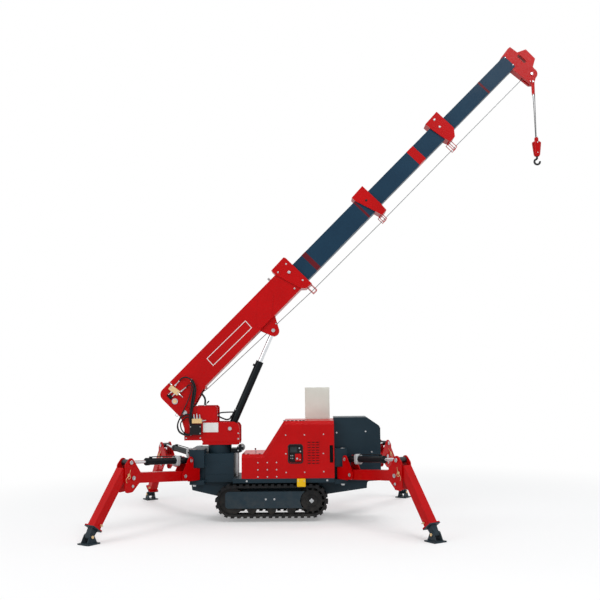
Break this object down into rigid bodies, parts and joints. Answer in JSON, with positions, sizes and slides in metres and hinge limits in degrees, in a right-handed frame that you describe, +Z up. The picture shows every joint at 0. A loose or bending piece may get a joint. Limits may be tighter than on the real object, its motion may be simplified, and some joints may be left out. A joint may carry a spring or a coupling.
{
  "type": "spider crane",
  "caption": "Compact tracked crane on four folding outriggers, with a telescopic luffing boom, a hoist rope and a swivelling hook.",
  "frame": {"origin": "on the ground, under the centre of the bounding box", "axes": "+X from the boom's foot towards its tip and the engine, +Z up, +Y across to the left side"},
  "size_m": [5.9252, 3.7946, 6.4659],
  "materials": {
    "red_paint": "gloss",
    "dark_paint": "satin",
    "black_paint": "gloss",
    "track_rubber": "matt",
    "chrome": "polished",
    "steel": "brushed",
    "beige_paint": "satin",
    "brass": "cast",
    "cast": "rough"
  },
  "bodies": {
    "chassis": {"chassis": "dark_paint", "slew_drive": "brass", "track_right": "track_rubber", "track_left": "track_rubber", "track_frame_right": "black_paint", "track_frame_left": "black_paint", "hood": "red_paint", "rear_hood": "dark_paint", "engine": "cast", "control_box": "beige_paint"},
    "turntable": {"turntable": "red_paint", "turntable_valve": "black_paint"},
    "boom_base": {"boom_base": "red_paint", "boom_valve": "brass", "hoist_rope_1": "steel"},
    "boom_2": {"boom_section_2": "dark_paint", "boom_head_2": "red_paint", "hoist_rope_2": "steel"},
    "boom_3": {"boom_section_3": "dark_paint", "boom_head_3": "red_paint", "hoist_rope_3": "steel"},
    "boom_4": {"boom_section_4": "dark_paint", "boom_head_tip": "red_paint", "hoist_rope_4": "steel"},
    "luff_barrel": {"luff_barrel": "black_paint"},
    "luff_rod": {"luff_rod": "chrome"},
    "winch_drum": {"winch_drum": "steel"},
    "tip_sheave": {"tip_sheave": "steel"},
    "hook_line": {"hook_line": "steel", "hook_block": "red_paint"},
    "hook": {"hook": "cast"},
    "anchor_link": {"anchor_link": "red_paint"},
    "front_right_bracket": {"front_right_bracket": "red_paint"},
    "front_right_arm": {"front_right_arm": "red_paint"},
    "front_right_barrel": {"front_right_barrel": "black_paint"},
    "front_right_rod": {"front_right_rod": "chrome"},
    "front_right_leg": {"front_right_leg": "red_paint"},
    "front_right_leg_inner": {"front_right_leg_inner": "dark_paint"},
    "front_right_foot": {"front_right_foot": "dark_paint"},
    "front_left_bracket": {"front_left_bracket": "red_paint"},
    "front_left_arm": {"front_left_arm": "red_paint"},
    "front_left_barrel": {"front_left_barrel": "black_paint"},
    "front_left_rod": {"front_left_rod": "chrome"},
    "front_left_leg": {"front_left_leg": "red_paint"},
    "front_left_leg_inner": {"front_left_leg_inner": "dark_paint"},
    "front_left_foot": {"front_left_foot": "dark_paint"},
    "rear_right_bracket": {"rear_right_bracket": "red_paint"},
    "rear_right_arm": {"rear_right_arm": "red_paint"},
    "rear_right_barrel": {"rear_right_barrel": "black_paint"},
    "rear_right_rod": {"rear_right_rod": "chrome"},
    "rear_right_leg": {"rear_right_leg": "red_paint"},
    "rear_right_leg_inner": {"rear_right_leg_inner": "dark_paint"},
    "rear_right_foot": {"rear_right_foot": "dark_paint"},
    "rear_left_bracket": {"rear_left_bracket": "red_paint"},
    "rear_left_arm": {"rear_left_arm": "red_paint"},
    "rear_left_barrel": {"rear_left_barrel": "black_paint"},
    "rear_left_rod": {"rear_left_rod": "chrome"},
    "rear_left_leg": {"rear_left_leg": "red_paint"},
    "rear_left_leg_inner": {"rear_left_leg_inner": "dark_paint"},
    "rear_left_foot": {"rear_left_foot": "dark_paint"}
  },
  "joints": [
    {"name": "slew", "type": "hinge", "parent": "chassis", "child": "turntable", "pos_m": [-1.53952, 0, 0.985], "axis": [0, 0, 1], "continuous": true},
    {"name": "luff", "type": "hinge", "parent": "turntable", "child": "boom_base", "pos_m": [-1.99852, 0, 1.415], "axis": [0, -1, 0], "range_deg": [-40, 30]},
    {"name": "luff_barrel_pivot", "type": "hinge", "parent": "turntable", "child": "luff_barrel", "pos_m": [-1.38952, 0, 1.198], "axis": [0, -1, 0], "range_deg": [-45, 33.75]},
    {"name": "luff_rod_slide", "type": "slide", "parent": "luff_barrel", "child": "luff_rod", "axis": [0.4082, 0, 0.9129], "range_m": [-0.4001, 0.3001]},
    {"name": "telescope", "type": "slide", "parent": "boom_base", "child": "boom_2", "axis": [0.7071, 0, 0.7071], "range_m": [-1.18, 0]},
    {"name": "telescope_3", "type": "slide", "parent": "boom_2", "child": "boom_3", "axis": [0.7071, 0, 0.7071], "range_m": [-1.18, 0]},
    {"name": "telescope_4", "type": "slide", "parent": "boom_3", "child": "boom_4", "axis": [0.7071, 0, 0.7071], "range_m": [-1.18, 0]},
    {"name": "winch_spin", "type": "hinge", "parent": "boom_base", "child": "winch_drum", "pos_m": [-2.1364, 0, 1.56986], "axis": [0, -1, 0], "continuous": true},
    {"name": "sheave_spin", "type": "hinge", "parent": "boom_4", "child": "tip_sheave", "pos_m": [2.85259, 0, 6.07307], "axis": [0, -1, 0], "continuous": true},
    {"name": "hook_line_plumb", "type": "hinge", "parent": "boom_4", "child": "hook_line", "pos_m": [2.85259, 0, 6.07307], "axis": [0, -1, 0], "range_deg": [-30, 40]},
    {"name": "anchor_link_plumb", "type": "hinge", "parent": "boom_4", "child": "anchor_link", "pos_m": [2.8586, 0, 5.9525], "axis": [0, -1, 0], "range_deg": [-30, 40]},
    {"name": "hook_swivel", "type": "hinge", "parent": "hook_line", "child": "hook", "pos_m": [2.90059, 0, 4.907], "axis": [0, 0, 1], "continuous": true},
    {"name": "front_right_swing", "type": "hinge", "parent": "chassis", "child": "front_right_bracket", "pos_m": [-1.84452, -0.3, 0.618], "axis": [0, 0, 1], "range_deg": [-54, 20]},
    {"name": "front_right_lift", "type": "hinge", "parent": "front_right_bracket", "child": "front_right_arm", "pos_m": [-1.98879, -0.51389, 0.617], "axis": [0.829, -0.5592, 0], "range_deg": [-60, 10]},
    {"name": "front_right_barrel_pivot", "type": "hinge", "parent": "front_right_bracket", "child": "front_right_barrel", "pos_m": [-1.9284, -0.42436, 0.808], "axis": [0.829, -0.5592, 0], "range_deg": [-59.71, 9.96]},
    {"name": "front_right_rod_slide", "type": "slide", "parent": "front_right_barrel", "child": "front_right_rod", "axis": [-0.5581, -0.8274, 0.0624], "range_m": [-0.2201, 0.0369]},
    {"name": "front_right_fold", "type": "hinge", "parent": "front_right_arm", "child": "front_right_leg", "pos_m": [-2.49598, -1.26583, 0.687], "axis": [-0.829, 0.5592, 0], "range_deg": [-100, 0]},
    {"name": "front_right_extend", "type": "slide", "parent": "front_right_leg", "child": "front_right_leg_inner", "axis": [-0.3247, -0.4814, -0.8141], "range_m": [0, 0.25]},
    {"name": "front_right_foot_tilt", "type": "hinge", "parent": "front_right_leg_inner", "child": "front_right_foot", "pos_m": [-2.83765, -1.77237, 0.085], "axis": [0.829, -0.5592, 0], "range_deg": [-30, 30]},
    {"name": "front_left_swing", "type": "hinge", "parent": "chassis", "child": "front_left_bracket", "pos_m": [-1.84452, 0.3, 0.618], "axis": [0, 0, -1], "range_deg": [-54, 20]},
    {"name": "front_left_lift", "type": "hinge", "parent": "front_left_bracket", "child": "front_left_arm", "pos_m": [-1.98879, 0.51389, 0.617], "axis": [-0.829, -0.5592, 0], "range_deg": [-60, 10]},
    {"name": "front_left_barrel_pivot", "type": "hinge", "parent": "front_left_bracket", "child": "front_left_barrel", "pos_m": [-1.9284, 0.42436, 0.808], "axis": [-0.829, -0.5592, 0], "range_deg": [-59.71, 9.96]},
    {"name": "front_left_rod_slide", "type": "slide", "parent": "front_left_barrel", "child": "front_left_rod", "axis": [-0.5581, 0.8274, 0.0624], "range_m": [-0.2201, 0.0369]},
    {"name": "front_left_fold", "type": "hinge", "parent": "front_left_arm", "child": "front_left_leg", "pos_m": [-2.49598, 1.26583, 0.687], "axis": [0.829, 0.5592, 0], "range_deg": [-100, 0]},
    {"name": "front_left_extend", "type": "slide", "parent": "front_left_leg", "child": "front_left_leg_inner", "axis": [-0.3247, 0.4814, -0.8141], "range_m": [0, 0.25]},
    {"name": "front_left_foot_tilt", "type": "hinge", "parent": "front_left_leg_inner", "child": "front_left_foot", "pos_m": [-2.83765, 1.77237, 0.085], "axis": [-0.829, -0.5592, 0], "range_deg": [-30, 30]},
    {"name": "rear_right_swing", "type": "hinge", "parent": "chassis", "child": "rear_right_bracket", "pos_m": [0.11548, -0.3, 0.618], "axis": [0, 0, -1], "range_deg": [-54, 20]},
    {"name": "rear_right_lift", "type": "hinge", "parent": "rear_right_bracket", "child": "rear_right_arm", "pos_m": [0.25975, -0.51389, 0.617], "axis": [0.829, 0.5592, 0], "range_deg": [-60, 10]},
    {"name": "rear_right_barrel_pivot", "type": "hinge", "parent": "rear_right_bracket", "child": "rear_right_barrel", "pos_m": [0.19936, -0.42436, 0.808], "axis": [0.829, 0.5592, 0], "range_deg": [-59.71, 9.96]},
    {"name": "rear_right_rod_slide", "type": "slide", "parent": "rear_right_barrel", "child": "rear_right_rod", "axis": [0.5581, -0.8274, 0.0624], "range_m": [-0.2201, 0.0369]},
    {"name": "rear_right_fold", "type": "hinge", "parent": "rear_right_arm", "child": "rear_right_leg", "pos_m": [0.76694, -1.26583, 0.687], "axis": [-0.829, -0.5592, 0], "range_deg": [-100, 0]},
    {"name": "rear_right_extend", "type": "slide", "parent": "rear_right_leg", "child": "rear_right_leg_inner", "axis": [0.3247, -0.4814, -0.8141], "range_m": [0, 0.25]},
    {"name": "rear_right_foot_tilt", "type": "hinge", "parent": "rear_right_leg_inner", "child": "rear_right_foot", "pos_m": [1.10861, -1.77237, 0.085], "axis": [0.829, 0.5592, 0], "range_deg": [-30, 30]},
    {"name": "rear_left_swing", "type": "hinge", "parent": "chassis", "child": "rear_left_bracket", "pos_m": [0.11548, 0.3, 0.618], "axis": [0, 0, 1], "range_deg": [-54, 20]},
    {"name": "rear_left_lift", "type": "hinge", "parent": "rear_left_bracket", "child": "rear_left_arm", "pos_m": [0.25975, 0.51389, 0.617], "axis": [-0.829, 0.5592, 0], "range_deg": [-60, 10]},
    {"name": "rear_left_barrel_pivot", "type": "hinge", "parent": "rear_left_bracket", "child": "rear_left_barrel", "pos_m": [0.19936, 0.42436, 0.808], "axis": [-0.829, 0.5592, 0], "range_deg": [-59.71, 9.96]},
    {"name": "rear_left_rod_slide", "type": "slide", "parent": "rear_left_barrel", "child": "rear_left_rod", "axis": [0.5581, 0.8274, 0.0624], "range_m": [-0.2201, 0.0369]},
    {"name": "rear_left_fold", "type": "hinge", "parent": "rear_left_arm", "child": "rear_left_leg", "pos_m": [0.76694, 1.26583, 0.687], "axis": [0.829, -0.5592, 0], "range_deg": [-100, 0]},
    {"name": "rear_left_extend", "type": "slide", "parent": "rear_left_leg", "child": "rear_left_leg_inner", "axis": [0.3247, 0.4814, -0.8141], "range_m": [0, 0.25]},
    {"name": "rear_left_foot_tilt", "type": "hinge", "parent": "rear_left_leg_inner", "child": "rear_left_foot", "pos_m": [1.10861, 1.77237, 0.085], "axis": [-0.829, 0.5592, 0], "range_deg": [-30, 30]}
  ],
  "couplings": [
    {"joint": "luff_barrel_pivot", "follows": "luff", "ratio": 1.125},
    {"joint": "luff_rod_slide", "follows": "luff", "m_per_rad": 0.573},
    {"joint": "telescope_3", "follows": "telescope", "ratio": 1},
    {"joint": "telescope_4", "follows": "telescope", "ratio": 1},
    {"joint": "hook_line_plumb", "follows": "luff", "ratio": -1},
    {"joint": "anchor_link_plumb", "follows": "luff", "ratio": -1},
    {"joint": "front_right_barrel_pivot", "follows": "front_right_lift", "ratio": 0.995},
    {"joint": "front_right_rod_slide", "follows": "front_right_lift", "m_per_rad": 0.21},
    {"joint": "front_left_barrel_pivot", "follows": "front_left_lift", "ratio": 0.995},
    {"joint": "front_left_rod_slide", "follows": "front_left_lift", "m_per_rad": 0.21},
    {"joint": "rear_right_barrel_pivot", "follows": "rear_right_lift", "ratio": 0.995},
    {"joint": "rear_right_rod_slide", "follows": "rear_right_lift", "m_per_rad": 0.21},
    {"joint": "rear_left_barrel_pivot", "follows": "rear_left_lift", "ratio": 0.995},
    {"joint": "rear_left_rod_slide", "follows": "rear_left_lift", "m_per_rad": 0.21}
  ]
}
